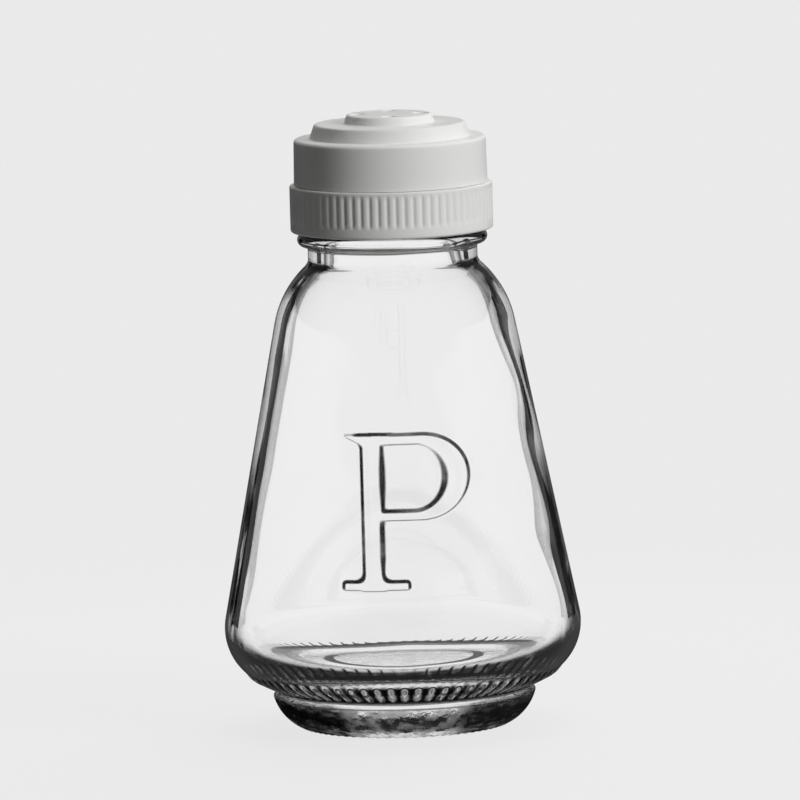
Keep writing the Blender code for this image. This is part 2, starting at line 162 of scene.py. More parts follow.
# Studio, in metres, with levels of light as shares of white
FLOOR_REACH, FLOOR_DROP = 3.0, 0.3 * MM
FLOOR_GREY, FLOOR_GREY_SEEN = 0.2, 0.62
FLOOR_GLOW, SEEN_DIMMER, NEAR_BRIGHTER, MIRROR_DIMMER = 0.9, 0.075, 0.11, 0.715
SHADOW_FADE, SHADOW_SHARE = (0.05, 0.24), 0.25
CARD_TURNS, CARD_EDGE, CARD_BACK, CARD_TALL, CARD_DROP = (22, 38), 0.025, 0.30, 0.16, 0.2 * MM
WALL_FADE, WALL_LOW, WALL_HIGH, WALL_MIRROR_DIMMER = (0.205, 0.24), 0.9, 0.3, 0.72
BACKDROP_LEVEL, FILL_LEVEL = 0.83, 0.03
LAMP_AIM = (0.0, 0.0, 0.07)

# Camera, with its focal length and shifts in pixels of an 800 pixel picture
PICTURE_SIZE, FOCAL_LENGTH, SHIFT_X, SHIFT_Y = 800, 11527.6, 3.0, 11.4
CAMERA_SPOT, CAMERA_AIM, CAMERA_ROLL = (0.0, -2.0, 0.2997), (0.0, 0.0, 0.055), -1.58
SENSOR_WIDTH, CLIP_START, CLIP_END = 36.0, 0.05, 20.0


# Profiles


def arc(centre, radius, start, end, step=6.0):
    """Points of a circle from start to end degrees above the outward axis."""
    count = max(2, math.ceil(abs(end - start) / step))
    turns = np.radians(np.linspace(start, end, count + 1))
    return [(centre[0] + radius * math.cos(a), centre[1] + radius * math.sin(a)) for a in turns]


def oval(centre, reach, drop, start, end, step=6.0):
    """Points of an ellipse with the given half width and half height, as arc gives those of a circle."""
    circle = arc((0.0, 0.0), 1.0, start, end, step)
    return [(centre[0] + reach * r, centre[1] + drop * z) for r, z in circle]


def bulged(start, end, bulge, step=6.0):
    """Points of the circle through start and end that stands out to the right by bulge halfway."""
    run, rise = end[0] - start[0], end[1] - start[1]
    chord = math.hypot(run, rise)
    radius = chord * chord / (8 * bulge) + bulge / 2
    across = (rise / chord, -run / chord)
    centre = [(a + b) / 2 - side * (radius - bulge) for a, b, side in zip(start, end, across)]
    half = math.degrees(math.asin(chord / (2 * radius)))
    facing = math.degrees(math.atan2(across[1], across[0]))
    return arc(centre, radius, facing - half, facing + half, step)


def rounded(corners, step=15.0):
    """A profile through (radius, height, rounding) corners, each turned by an arc of that rounding."""
    path = []
    for here, (radius, height, rounding) in enumerate(corners):
        spot = Vector((radius, height))
        if not rounding:
            path.append(tuple(spot))
            continue
        before = (Vector(corners[here - 1][:2]) - spot).normalized()
        after = (Vector(corners[(here + 1) % len(corners)][:2]) - spot).normalized()
        half = before.angle(after) / 2
        centre = spot + (before + after).normalized() * (rounding / math.sin(half))
        first = spot + before * (rounding / math.tan(half)) - centre
        last = spot + after * (rounding / math.tan(half)) - centre
        start = math.degrees(math.atan2(first.y, first.x))
        sweep = math.copysign(180 - 2 * math.degrees(half), first.x * last.y - first.y * last.x)
        path += arc(centre, rounding, start, start + sweep, step)
    return path


def dense(path, longest):
    """The same profile with no stretch longer than the given length."""
    points = [path[0]]
    for here, there in zip(path, path[1:]):
        parts = max(1, math.ceil(math.dist(here, there) / longest))
        for part in range(1, parts + 1):
            points.append(tuple(np.array(here) + (np.array(there) - here) * part / parts))
    return points


def ramp(rise, length):
    """0 up to a rise of zero, 1 from the given length on, and even between."""
    return np.clip(rise / length, 0.0, 1.0)


def smooth(share):
    """A share from 0 to 1, eased at both ends."""
    return share * share * (3 - 2 * share)


# Meshes


def even(count):
    """Turns round the axis, from the back by way of the front, in even steps."""
    return np.linspace(-math.pi, math.pi, count, endpoint=False)


def side_by_side(lower, upper):
    """Triangles between two rings of points whose turns differ."""
    (low_start, low_turns), (high_start, high_turns) = lower, upper
    low_count, high_count = len(low_turns), len(high_turns)
    low = high = 0
    faces = []
    while low < low_count or high < high_count:
        # A ring's closing step comes after all other steps, first in the ring of fewer points
        low_next = low_turns[low + 1] if low + 1 < low_count else math.pi + low
        high_next = high_turns[high + 1] if high + 1 < high_count else math.pi + high
        here = low_start + low % low_count
        above = high_start + high % high_count
        if high == high_count or (low < low_count and low_next <= high_next):
            faces.append((here, low_start + (low + 1) % low_count, above))
            low += 1
        else:
            faces.append((here, high_start + (high + 1) % high_count, above))
            high += 1
    return faces


def lathe(name, bands, closed=False):
    """A closed mesh turned round Z from bands of (profile, turns, relief).

    A relief gives the rise of the surface from the turns and the profile, in millimetres. Bands
    next to each other may have other turns: triangles then join their rings.
    """
    whole = np.array([point for profile, _, _ in bands for point in profile])
    if closed:
        run = np.roll(whole, -1, axis=0) - np.roll(whole, 1, axis=0)
    else:
        run = np.gradient(whole, axis=0)
    out = np.stack([run[:, 1], -run[:, 0]], 1)
    out /= np.maximum(np.linalg.norm(out, axis=1, keepdims=True), 1e-9)
    points, faces, rings = [], [], []
    made = row = 0
    for profile, turns, relief in bands:
        for radius, height in profile:
            lift = relief(turns, radius, height) if relief else np.zeros(len(turns))
            far, high = radius + out[row, 0] * lift, height + out[row, 1] * lift
            row += 1
            if radius < 1e-6:
                ring = np.array([(0.0, 0.0, height)])
            else:
                ring = np.stack([far * np.sin(turns), -far * np.cos(turns), high], 1)
            rings.append((made, turns if len(ring) > 1 else turns[:1]))
            points.append(ring)
            made += len(ring)
    pairs = list(zip(rings, rings[1:])) + ([(rings[-1], rings[0])] if closed else [])
    for lower, upper in pairs:
        (low, low_turns), (high, high_turns) = lower, upper
        count = max(len(low_turns), len(high_turns))
        here = np.arange(count)
        beside = (here + 1) % count
        if len(low_turns) == 1:
            strip = np.stack([np.full(count, low), high + beside, high + here], 1).tolist()
        elif len(high_turns) == 1:
            strip = np.stack([low + here, low + beside, np.full(count, high)], 1).tolist()
        elif low_turns is high_turns:
            strip = np.stack([low + here, low + beside, high + beside, high + here], 1).tolist()
        else:
            strip = side_by_side(lower, upper)
        faces += strip
    mesh = bpy.data.meshes.new(name)
    mesh.from_pydata((np.concatenate(points) * MM).tolist(), [], faces)
    mesh.shade_smooth()
    return mesh


def place(mesh, *finishes):
    """Puts a mesh in the scene under its own name."""
    piece = bpy.data.objects.new(mesh.name, mesh)
    bpy.context.scene.collection.objects.link(piece)
    for finish in finishes:
        mesh.materials.append(finish)
    return piece


def settle(piece):
    """Turns what a piece's modifiers make of it into its plain mesh."""
    seen = piece.evaluated_get(bpy.context.evaluated_depsgraph_get())
    mesh = bpy.data.meshes.new_from_object(seen)
    mesh.name = piece.name
    piece.modifiers.clear()
    piece.data = mesh


def combine(piece, tool, operation):
    """Cuts a tool from a piece or joins it to the piece, and takes the tool away."""
    boolean = piece.modifiers.new(tool.name, "BOOLEAN")
    boolean.operation = operation
    boolean.solver = "EXACT"
    boolean.object = tool
    settle(piece)
    bpy.data.objects.remove(tool, do_unlink=True)


def points_of(mesh):
    """The x, y and z of a mesh's points, in millimetres."""
    points = np.empty(3 * len(mesh.vertices))
    mesh.vertices.foreach_get("co", points)
    return points.reshape(-1, 3).T / MM


def keep(mesh, name, values):
    """Stores one number for each point on a mesh, for its finish to read."""
    attribute = mesh.attributes.new(name, "FLOAT", "POINT")
    attribute.data.foreach_set("value", values)


class Wire:
    """A socket of a node tree. Sums and products of wires add their Math nodes to the tree."""

    def __init__(self, tree, socket=None):
        self.tree, self.socket = tree, socket

    def node(self, kind, settings=None, sockets=None, out=0):
        """Adds a node: its type, its settings, its sockets' values or links, and the output used."""
        made = self.tree.nodes.new(kind)
        for name, value in (settings or {}).items():
            setattr(made, name, value)
        for name, value in (sockets or {}).items():
            if isinstance(value, Wire):
                self.tree.links.new(value.socket, made.inputs[name])
            else:
                made.inputs[name].default_value = value
        return Wire(self.tree, made.outputs[out] if len(made.outputs) else None)

    def maths(self, operation, *others):
        """A Math node on this wire and the others."""
        sockets = dict(enumerate((self, *others)))
        return self.node("ShaderNodeMath", {"operation": operation}, sockets)

    def __add__(self, other):
        return self.maths("ADD", other)

    def __mul__(self, other):
        return self.maths("MULTIPLY", other)

    __rmul__ = __mul__

    def __sub__(self, other):
        return self.maths("SUBTRACT", other)

    def __rsub__(self, other):
        return -1.0 * self + other

    def __truediv__(self, other):
        return self.maths("DIVIDE", other)

    def ease(self, start, end, low=0.0, high=1.0):
        """Goes smoothly from low to high while this wire goes from start to end."""
        ends = {"From Min": start, "From Max": end, "To Min": low, "To Max": high}
        sockets = {"Value": self, **ends}
        return self.node("ShaderNodeMapRange", {"interpolation_type": "SMOOTHSTEP"}, sockets)

    def band(self, low, high, soft):
        """1 from low to high, falling to 0 over a soft edge on both sides."""
        return self.ease(low - soft, low) * self.ease(high, high + soft, 1.0, 0.0)

    def parts(self):
        """The x, y and z of a vector."""
        split = self.tree.nodes.new("ShaderNodeSeparateXYZ")
        self.tree.links.new(self.socket, split.inputs[0])
        return [Wire(self.tree, socket) for socket in split.outputs]


def rib_tree():
    """Geometry Nodes that raise or sink even ribs round Z in a band of heights."""
    tree = bpy.data.node_groups.new("moulded_ribs", "GeometryNodeTree")
    tree.interface.new_socket("Geometry", in_out="INPUT", socket_type="NodeSocketGeometry")
    names = ("Count", "Rise", "Low", "High", "Fade", "Width", "Start", "Least Radius")
    for name in names:
        tree.interface.new_socket(name, in_out="INPUT", socket_type="NodeSocketFloat")
    tree.interface.new_socket("Finish", in_out="INPUT", socket_type="NodeSocketMaterial")
    tree.interface.new_socket("Geometry", in_out="OUTPUT", socket_type="NodeSocketGeometry")
    given = tree.nodes.new("NodeGroupInput")
    asked = {socket.name: Wire(tree, socket) for socket in given.outputs if socket.name}
    start = Wire(tree)
    x, y, z = start.node("GeometryNodeInputPosition").parts()
    turn = x.maths("ARCTAN2", y * -1.0) / math.tau
    phase = (turn * asked["Count"] + asked["Start"]).maths("FRACT")
    off_centre = ((phase - 0.5) * 2.0).maths("ABSOLUTE")
    ridge = off_centre.ease(0.0, asked["Width"], 1.0, 0.0)
    low, high, fade = asked["Low"], asked["High"], asked["Fade"]
    band = z.ease(low, low + fade) * z.ease(high - fade, high, 1.0, 0.0)
    outside = (x * x + y * y).maths("SQRT").maths("GREATER_THAN", asked["Least Radius"])
    facing = start.node("GeometryNodeInputNormal")
    lift = ridge * band * outside * asked["Rise"]
    offset = start.node("ShaderNodeVectorMath", {"operation": "SCALE"}, {0: facing, "Scale": lift})
    moved = start.node(
        "GeometryNodeSetPosition", None, {"Geometry": asked["Geometry"], "Offset": offset}
    )
    real = start.node("GeometryNodeRealizeInstances", None, {"Geometry": moved})
    done = start.node(
        "GeometryNodeSetMaterial", None, {"Geometry": real, "Material": asked["Finish"]}
    )
    tree.links.new(done.socket, tree.nodes.new("NodeGroupOutput").inputs[0])
    return tree


def raise_ribs(piece, tree, finish, **sizes):
    """Runs the rib tree on a piece. Sizes go by the tree's input names, with _ for a space."""
    values = {name.replace("_", " "): value for name, value in sizes.items()}
    values["Finish"] = finish
    modifier = piece.modifiers.new("moulded_ribs", "NODES")
    modifier.node_group = tree
    for item in tree.interface.items_tree:
        if item.in_out == "INPUT" and item.name in values:
            modifier[item.identifier] = values[item.name]
    settle(piece)


# Finishes


def new_finish(name):
    """An empty material, its tree as a wire and a function that ends it in a shader."""
    finish = bpy.data.materials.new(name)
    finish.use_nodes = True
    tree = finish.node_tree
    tree.nodes.clear()
    start = Wire(tree)

    def end(shader):
        start.node("ShaderNodeOutputMaterial", None, {"Surface": shader})
        return finish

    return start, end


def own_spot(start):
    """The piece's own coordinates, in metres."""
    return start.node("ShaderNodeTexCoord", None, None, "Object")


def cloud(start, scale, detail=2.0, roughness=0.5, stretch=None):
    """Even noise from 0 to 1 on the piece's own coordinates, in features per metre."""
    spot = own_spot(start)
    if stretch:
        spot = start.node("ShaderNodeMapping", None, {"Vector": spot, "Scale": stretch})
    sockets = {"Vector": spot, "Scale": scale, "Detail": detail, "Roughness": roughness}
    return start.node("ShaderNodeTexNoise", None, sockets)


def tint(start, factor, dark, light):
    """A colour between two others, by the numbered colour sockets of the Mix node."""
    sockets = {"Factor": factor, 6: (*dark, 1.0), 7: (*light, 1.0)}
    return start.node("ShaderNodeMix", {"data_type": "RGBA"}, sockets, 2)


def grey(level):
    """A neutral colour."""
    return (level, level, level)


def rough_face(start, height, strength, depth):
    """A bump of the given depth in millimetres."""
    sockets = {"Height": height, "Strength": strength, "Distance": depth * MM}
    return start.node("ShaderNodeBump", None, sockets)


def slant_to_view(start, normal=None):
    """How far a face, or a given direction, is turned from the view: 0 is square on and 1 edge on."""
    sockets = {"Blend": 0.5, "Normal": normal} if normal else {"Blend": 0.5}
    return start.node("ShaderNodeLayerWeight", None, sockets, "Facing")


def ray(start, kind):
    """1 for rays of a kind, such as Camera or Shadow."""
    return start.node("ShaderNodeLightPath", None, None, f"Is {kind} Ray")


def metres(sizes):
    """Sizes in millimetres as metres."""
    return [size * MM for size in sizes]


def glass_body(start, in_foot):
    """The clear shader: faint chill ripples and a trace of haze, both stronger in the foot."""
    chill, pits = cloud(start, 90.0, 1.0), cloud(start, 650.0, 2.0)
    haze = cloud(start, 240.0, 3.0).ease(0.45, 0.8, 0.0, 0.025)
    frosted = cloud(start, 480.0, 2.0).ease(0.35, 0.65, 0.12, 0.42)
    sockets = {
        "Base Color": tint(start, cloud(start, 60.0), (0.985, 0.988, 0.987), grey(1.0)),
        "Roughness": haze + frosted * in_foot,
        "IOR": GLASS_IOR,
        "Transmission Weight": 1.0,
        "Normal": rough_face(start, chill * 0.12 + pits * in_foot * 0.4, 1.0, 0.4),
    }
    return start.node("ShaderNodeBsdfPrincipled", None, sockets)


def painted_wall_shade(start, height, in_foot, inside, outward):
    """Share of painted shade (near black) standing in for light that the wall throws back inside, or that
    only skims the outside.

    Upright streaks get less of it. In the upper half, below the shoulder, so does light that is thrown
    back at flatter angles, which leaves a pale gap in the dark edge. Level faces get little.
    """
    slant = slant_to_view(start)
    facing = start.node("ShaderNodeNewGeometry", None, None, "Normal")
    _, _, upright = facing.parts()
    level = upright.maths("ABSOLUTE").ease(*FLOOR_TILT)
    streak = cloud(start, 300.0, 2.0, 0.5, (1.0, 1.0, 0.22)).ease(0.5, 0.64)
    streak = streak * height.ease(*metres(STREAK_FADE), 0.12, 1.0)
    upper = height.ease(*metres(GAP_FADE)) * (1.0 - height.band(*metres(SHOULDER_MARK)))
    gap = slant.ease(THROWN_BACK + 0.03, THROWN_BACK + 0.05) * upper
    share = WALL_SHADE - STREAK_LIGHT * streak.maths("MAXIMUM", gap * inside)
    share = share + in_foot * (FOOT_SHADE - share)
    turned = slant.ease(THROWN_BACK - 0.02, THROWN_BACK + 0.04)
    # Painted shade on faces turned past the thrown-back angle
    painted_shade = inside * turned * (share + level * (LEVEL_FACE_SHADE - share))
    skim = slant.ease(upper * SKIM_LATER + SKIM_START, SKIM_END, 0.0, EDGE_SHADE)
    sockets = {0: facing, 1: outward}
    outer = start.node("ShaderNodeVectorMath", {"operation": "DOT_PRODUCT"}, sockets, "Value")
    skimmed = (1.0 - inside) * outer.ease(-0.1, 0.1) * (1.0 - level) * skim
    return painted_shade + skimmed * (1.0 - STREAK_SKIM * streak)


def painted_shade_marks(start, away, height, in_foot, inside, outward):
    """Shares of painted shade (near black) at the letter's walls, rib valleys, groove, hollow's edge and
    foot's sides.
    """
    letter = start.node("ShaderNodeAttribute", {"attribute_name": "letter_wall_shade"}, None, "Fac")
    valley = start.node("ShaderNodeAttribute", {"attribute_name": "rib_valley_shade"}, None, "Fac")
    uneven = cloud(start, 220.0, 2.0).ease(0.34, 0.6, 0.84, 1.0)
    layer = cloud(start, 260.0, 3.0, 0.6, (0.5, 0.5, 2.6)).ease(0.45, 0.62)
    groove = height.band(*metres(GROOVE_MARK))
    hollow_edge = away.band(*metres(HOLLOW_MARK)) * height.ease(*metres(HOLLOW_TOP), 1.0, 0.0)
    from_above = slant_to_view(start, start.node("ShaderNodeCombineXYZ", None, {2: 1.0}))
    sideways = slant_to_view(start, outward) + cloud(start, 420.0, 2.0) * 0.12 - 0.06
    foot_edge = sideways.ease(0.07, 0.17, 0.0, FOOT_EDGE_SHADE)
    return [
        letter.ease(0.2, 0.7, 0.0, LETTER_SHADE) * uneven,
        (1.0 - inside) * valley * RIB_SHADE,
        inside * groove * from_above.ease(0.15, 0.24) * RING_SHADE,
        inside * hollow_edge * from_above.ease(0.3, 0.45, 1.0, 0.0) * RING_SHADE,
        (1.0 - inside) * in_foot * foot_edge * (1.0 - 0.3 * layer),
    ]


def clear_glass():
    """Clear pressed glass whose dark edges are painted shade, by a near-black matt shader, and whose
    shadow is pale.
    """
    start, end = new_finish("clear_glass")
    x, y, height = own_spot(start).parts()
    away = (x * x + y * y).maths("SQRT")
    outward = start.node("ShaderNodeCombineXYZ", None, {0: x, 1: y})
    outward = start.node("ShaderNodeVectorMath", {"operation": "NORMALIZE"}, {0: outward})
    inside = start.node("ShaderNodeNewGeometry", None, None, "Backfacing")
    in_foot = height.ease(*metres(FOOT_FADE), 1.0, 0.0)
    painted_shade = painted_wall_shade(start, height, in_foot, inside, outward)
    for mark in painted_shade_marks(start, away, height, in_foot, inside, outward):
        painted_shade = painted_shade.maths("MAXIMUM", mark)
    # Painted shade: a near-black matt shader, mixed in by that share, draws the glass's dark edges and
    # marks
    dark = start.node("ShaderNodeBsdfDiffuse", None, {"Color": (*grey(NEAR_BLACK), 1.0)})
    glass_with_painted_shade = start.node("ShaderNodeMixShader", None, {0: painted_shade, 1: glass_body(start, in_foot), 2: dark})
    shade = start.node("ShaderNodeBsdfTransparent", None, {"Color": (*grey(SHADOW_GREY), 1.0)})
    return end(start.node("ShaderNodeMixShader", None, {0: ray(start, "Shadow"), 1: glass_with_painted_shade, 2: shade}))


def moulded_plastic(name, dark, light, gloss, grain):
    """Satin moulded plastic: uneven whiteness, spark-eroded grain and patches of rubbed gloss."""
    start, end = new_finish(name)
    patches = cloud(start, 110.0, 3.0)
    specks = cloud(start, 2600.0, 2.0)
    rubbed = cloud(start, 320.0, 4.0, 0.6)
    height = specks * 0.7 + cloud(start, 700.0, 2.0) * 0.3
    sockets = {
        "Base Color": tint(start, patches * 0.75 + specks * 0.25, dark, light),
        "Roughness": rubbed.ease(0.3, 0.75, gloss - 0.05, gloss + 0.08),
        "IOR": 1.49,
        "Normal": rough_face(start, height, grain, 0.05),
    }
    return end(start.node("ShaderNodeBsdfPrincipled", None, sockets))


def foamed_liner():
    """Fine-celled foam: shallow pits and a matt, slightly mottled face."""
    start, end = new_finish("foam_liner")
    cells = start.node("ShaderNodeTexVoronoi", None, {"Vector": own_spot(start), "Scale": 2800.0})
    sockets = {
        "Base Color": tint(start, cloud(start, 500.0), (0.66, 0.68, 0.66), (0.76, 0.78, 0.76)),
        "Roughness": cells.ease(0.0, 0.8, 0.72, 0.9),
        "Normal": rough_face(start, cells, 0.5, 0.12),
    }
    return end(start.node("ShaderNodeBsdfPrincipled", None, sockets))


# Bottle


def thread_ridge(turns, height, start, rise, foot, crest, low, high):
    """Rise of a right-hand thread of the common pitch, eased in and out at its two ends."""
    steps = height / THREAD_PITCH - turns / math.tau - start
    apart = np.abs(steps - np.round(steps)) * THREAD_PITCH
    ridge = smooth(ramp(foot - apart, foot - crest))
    middle = (np.round(steps) + start + turns / math.tau) * THREAD_PITCH
    ends = ramp(middle - low, THREAD_TAPER) * ramp(high - middle, THREAD_TAPER)
    return rise * ridge * ends


def neck_relief(turns, radius, height):
    """The thread on the neck, above the bead."""
    if not BEAD_HEIGHT + BEAD_ROUND < height < THREAD_TOP + 0.2:
        return np.zeros(len(turns))
    sizes = {"foot": 1.15, "crest": 0.5, "low": 88.0, "high": 92.6}
    return thread_ridge(turns, height, start=0.0, rise=NECK_THREAD_RISE, **sizes)


def box_field(x, z, middle, half, rounding):
    """Distance to a rounded bar, negative inside it."""
    dx = np.abs(x - middle[0]) - half[0] + rounding
    dz = np.abs(z - middle[1]) - half[1] + rounding
    beyond = np.hypot(np.maximum(dx, 0), np.maximum(dz, 0))
    return beyond + np.minimum(np.maximum(dx, dz), 0) - rounding


def bowl_field(x, z, left, middle, half):
    """Distance to a bar from left whose right end is half an ellipse."""
    across = np.maximum(x - middle[0], 0.0)
    up = z - middle[1]
    size = np.hypot(across / half[0], up / half[1])
    steep = np.maximum(np.hypot(across / half[0] ** 2, up / half[1] ** 2), 1e-6)
    return np.maximum(size * (size - 1) / steep, left - x)


def merge(one, other, soft):
    """Union of two distances with a soft bracket in the corner between them."""
    share = np.clip(0.5 + 0.5 * (other - one) / soft, 0.0, 1.0)
    return other + (one - other) * share - soft * share * (1 - share)


def letter_shape(x, z):
    """Distance to a roman P for pepper, negative inside it, and the width of its walls there.

    It is drawn with bars and half ellipses. Its walls are wider round the counter and right of the stem.
    """
    stem = box_field(x, z, STEM_MIDDLE, STEM_HALF, STEM_ROUND)
    half = SERIF_TIP + SERIF_SWELL * ramp(x - SERIF_LEFT, SERIF_TAPER)
    ends = np.maximum(SERIF_LEFT - x, x - SERIF_RIGHT)
    serif = np.maximum(np.abs(z - SERIF_TOP + half) - half, ends)
    base = box_field(x, z, BASE_MIDDLE, BASE_HALF, BASE_ROUND)
    bowl = bowl_field(x, z, STEM_MIDDLE[0], BOWL_MIDDLE, BOWL_HALF)
    counter = bowl_field(x, z, STEM_RIGHT, COUNTER_MIDDLE, COUNTER_HALF)
    outline = merge(np.maximum(bowl, -counter), serif, soft=0.3)
    outline = merge(merge(outline, stem, soft=0.9), base, soft=1.6)
    beside = np.clip(1.3 - np.abs(z - COUNTER_MIDDLE[1]) / 5.0, 0.0, 1.0)
    in_counter = np.clip(1.5 - np.abs(outline + counter) / 0.4, 0.0, 1.0) * beside
    by_stem = np.clip(1.5 - np.abs(x - STEM_RIGHT), 0.0, 1.0)
    by_stem = by_stem * ramp(z - STEM_SHADE_LOW, STEM_SHADE_FADE)
    by_stem = by_stem * ramp(STEM_SHADE_HIGH - z, STEM_SHADE_FADE)
    return outline, LETTER_WALL * (1.0 + np.maximum(in_counter, 0.7 * by_stem))


def letter_relief(turns, radius, height):
    """Raises the letter on the front."""
    if not LETTER_LOW < height < LETTER_HIGH:
        return np.zeros(len(turns))
    off_letter = 99.0
    x = np.where(np.cos(turns) > 0, radius * np.sin(turns), off_letter)
    outline, width = letter_shape(x, np.full(len(turns), height))
    return LETTER_RISE * smooth(np.clip(0.5 - outline / width, 0.0, 1.0))


def mark_letter(mesh):
    """Keeps on the mesh where painted shade goes on the letter's walls, for light they turn away.

    That is least on walls that face down, and less at the tip of the serif.
    """
    x, y, z = points_of(mesh)
    outline, width = letter_shape(x, z)
    near = np.clip(1.0 - np.abs(outline) / width, 0.0, 1.0)
    nudge = 0.05
    upward = (letter_shape(x, z + nudge)[0] - letter_shape(x, z - nudge)[0]) / (2 * nudge)
    turned = ramp(upward + 0.95, 0.9)
    least, serif_low, tip_left, tip_length = 0.38, 50.0, -9.3, 2.4
    near *= np.where(z > serif_low, np.clip((x - tip_left) / tip_length, 0.5, 1.0), 1.0)
    on_front = (y < 0) & (z > LETTER_LOW) & (z < LETTER_HIGH)
    outside = np.hypot(x, y) > MID_WALL_RADIUS - MID_WALL_TAPER * (z - MID_WALL_HEIGHT)
    mark = near * (least + (1 - least) * turned)
    # Where painted shade goes on the letter's walls
    keep(mesh, "letter_wall_shade", np.where(on_front & outside, mark, 0.0))


def mark_valleys(mesh):
    """Keeps on the mesh where painted shade goes in the valleys between the ribs of the heel, and in the
    ring under them.
    """
    x, y, z = points_of(mesh)
    phase = (np.arctan2(x, -y) / math.tau * RIB_COUNT + 0.5) % 1.0
    valley = ramp(np.abs(phase - 0.5) * 2 - VALLEY_SHARE, VALLEY_SOFT)
    valley = np.maximum(valley, ramp(VALLEY_FLOOR - z, VALLEY_FLOOR_FADE))
    band = ramp(z - VALLEY_LOW, VALLEY_LOW_FADE) * ramp(VALLEY_HIGH - z, VALLEY_HIGH_FADE)
    outside = np.hypot(x, y) > np.where(z < VALLEY_STEP, *VALLEY_RADII)
    # Where painted shade goes in the rib valleys and the ring under them
    keep(mesh, "rib_valley_shade", np.where(outside, valley * band, 0.0))


def inner_ripple(turns, radius, height):
    """Slow swells of the blown inner wall, stronger on the right, gone at the floor and the neck."""
    swell = sum(
        share * np.sin(waves * turns + twist * height + start) for share, waves, twist, start in SWELLS
    )
    side = 0.55 + 0.45 * np.sin(turns)
    reach = ramp(SWELL_HIGH - height, SWELL_HIGH_FADE) * ramp(height - SWELL_LOW, SWELL_LOW_FADE)
    return SWELL_RISE * swell * side * reach


def cone_point(height):
    """Point of the outer cone at a height."""
    foot = arc(HEEL_MIDDLE, HEEL_ROUND, CONE_ANGLE, CONE_ANGLE)[0]
    return foot[0] - (height - foot[1]) * math.tan(math.radians(CONE_ANGLE)), height


def shoulder_arc(radius, start, end):
    """Arc of the shoulder, which goes on from the cone."""
    slope = math.radians(CONE_ANGLE)
    edge, height = cone_point(SHOULDER_HEIGHT)
    middle = (edge - SHOULDER_ROUND * math.cos(slope), height - SHOULDER_ROUND * math.sin(slope))
    return arc(middle, radius, start, end, step=3.0)


def foot_paths():
    """Profiles of the underside, of the side of the foot, and of the ribbed heel with its groove."""
    under = [
        (0.0, PUSH_UP_HEIGHT, 0.0),
        (PUSH_UP_RADIUS, PUSH_UP_EDGE, 0.5),
        (STAND_INNER, 0.0, 0.4),
        (STAND_OUTER, 0.0, 0.0),
    ]
    underside = dense(rounded(under), longest=1.6)[:-1]
    side = bulged((STAND_OUTER, 0.0), (FOOT_RADIUS, FOOT_HEIGHT), FOOT_BULGE, step=3.5)
    heel = arc(HEEL_MIDDLE, HEEL_ROUND, -HEEL_UNDERCUT, RIBBED_HEEL_END, step=3.0)
    undercut = math.tan(math.radians(90 - HEEL_UNDERCUT))
    heel_start = heel[0][1] - (heel[0][0] - HEEL_END_RADIUS) * undercut
    edge = [
        (*side[-2], 0.0),
        (FOOT_RADIUS, FOOT_HEIGHT + 0.1, 0.3),
        (GROOVE_RADIUS, GROOVE_HEIGHT, 0.2),
        (HEEL_END_RADIUS, heel_start, 0.3),
        (*heel[0], 0.0),
    ]
    return underside, side[:-2], dense(rounded(edge), longest=0.42)[:-1] + heel


def body_paths():
    """Profiles of the belly, of the lettered part of the cone, and of the cone and shoulder above it."""
    belly = arc(HEEL_MIDDLE, HEEL_ROUND, RIBBED_HEEL_END, CONE_ANGLE, step=4.0)[1:]
    letter_foot, letter_head = cone_point(LETTER_LOW), cone_point(LETTER_HIGH)
    belly = belly[:-1] + dense([belly[-1], letter_foot], longest=1.5)[:-1]
    lettered = dense([letter_foot, letter_head], longest=0.235)
    shoulder = shoulder_arc(SHOULDER_ROUND, CONE_ANGLE, SHOULDER_END)
    upper = dense([letter_head, shoulder[0]], longest=1.8)[1:] + shoulder[1:-1]
    return belly, lettered, upper


def finish_path():
    """Profile of the neck, the bead, the root of the thread and the lip, down into the bore."""
    bead_middle = (BEAD_RADIUS - BEAD_ROUND, BEAD_HEIGHT)
    bead = arc(bead_middle, BEAD_ROUND, BEAD_START, 90.0, step=12.0)
    neck = [
        (*shoulder_arc(SHOULDER_ROUND, CONE_ANGLE, SHOULDER_END)[-1], 0.0),
        (NECK_RADIUS, NECK_FOOT, NECK_ROUND),
        (NECK_RADIUS, BEAD_HEIGHT - BEAD_ROUND - 0.2, 0.5),
        (*bead[0], 0.0),
    ]
    top = [
        (*bead[-1], 0.0),
        (THREAD_ROOT, BEAD_HEIGHT + BEAD_ROUND, 0.25),
        (THREAD_ROOT, THREAD_TOP, 0.2),
        (LAND_RADIUS, THREAD_TOP + 0.4, 0.2),
        (LAND_RADIUS, LIP_HEIGHT, LIP_ROUND),
        (BORE_RADIUS, LIP_HEIGHT, LIP_ROUND),
        (BORE_RADIUS, LIP_HEIGHT - BORE_DEPTH, 0.0),
    ]
    return dense(rounded(neck)[:-1], longest=0.5) + bead + dense(rounded(top)[1:], longest=0.3)


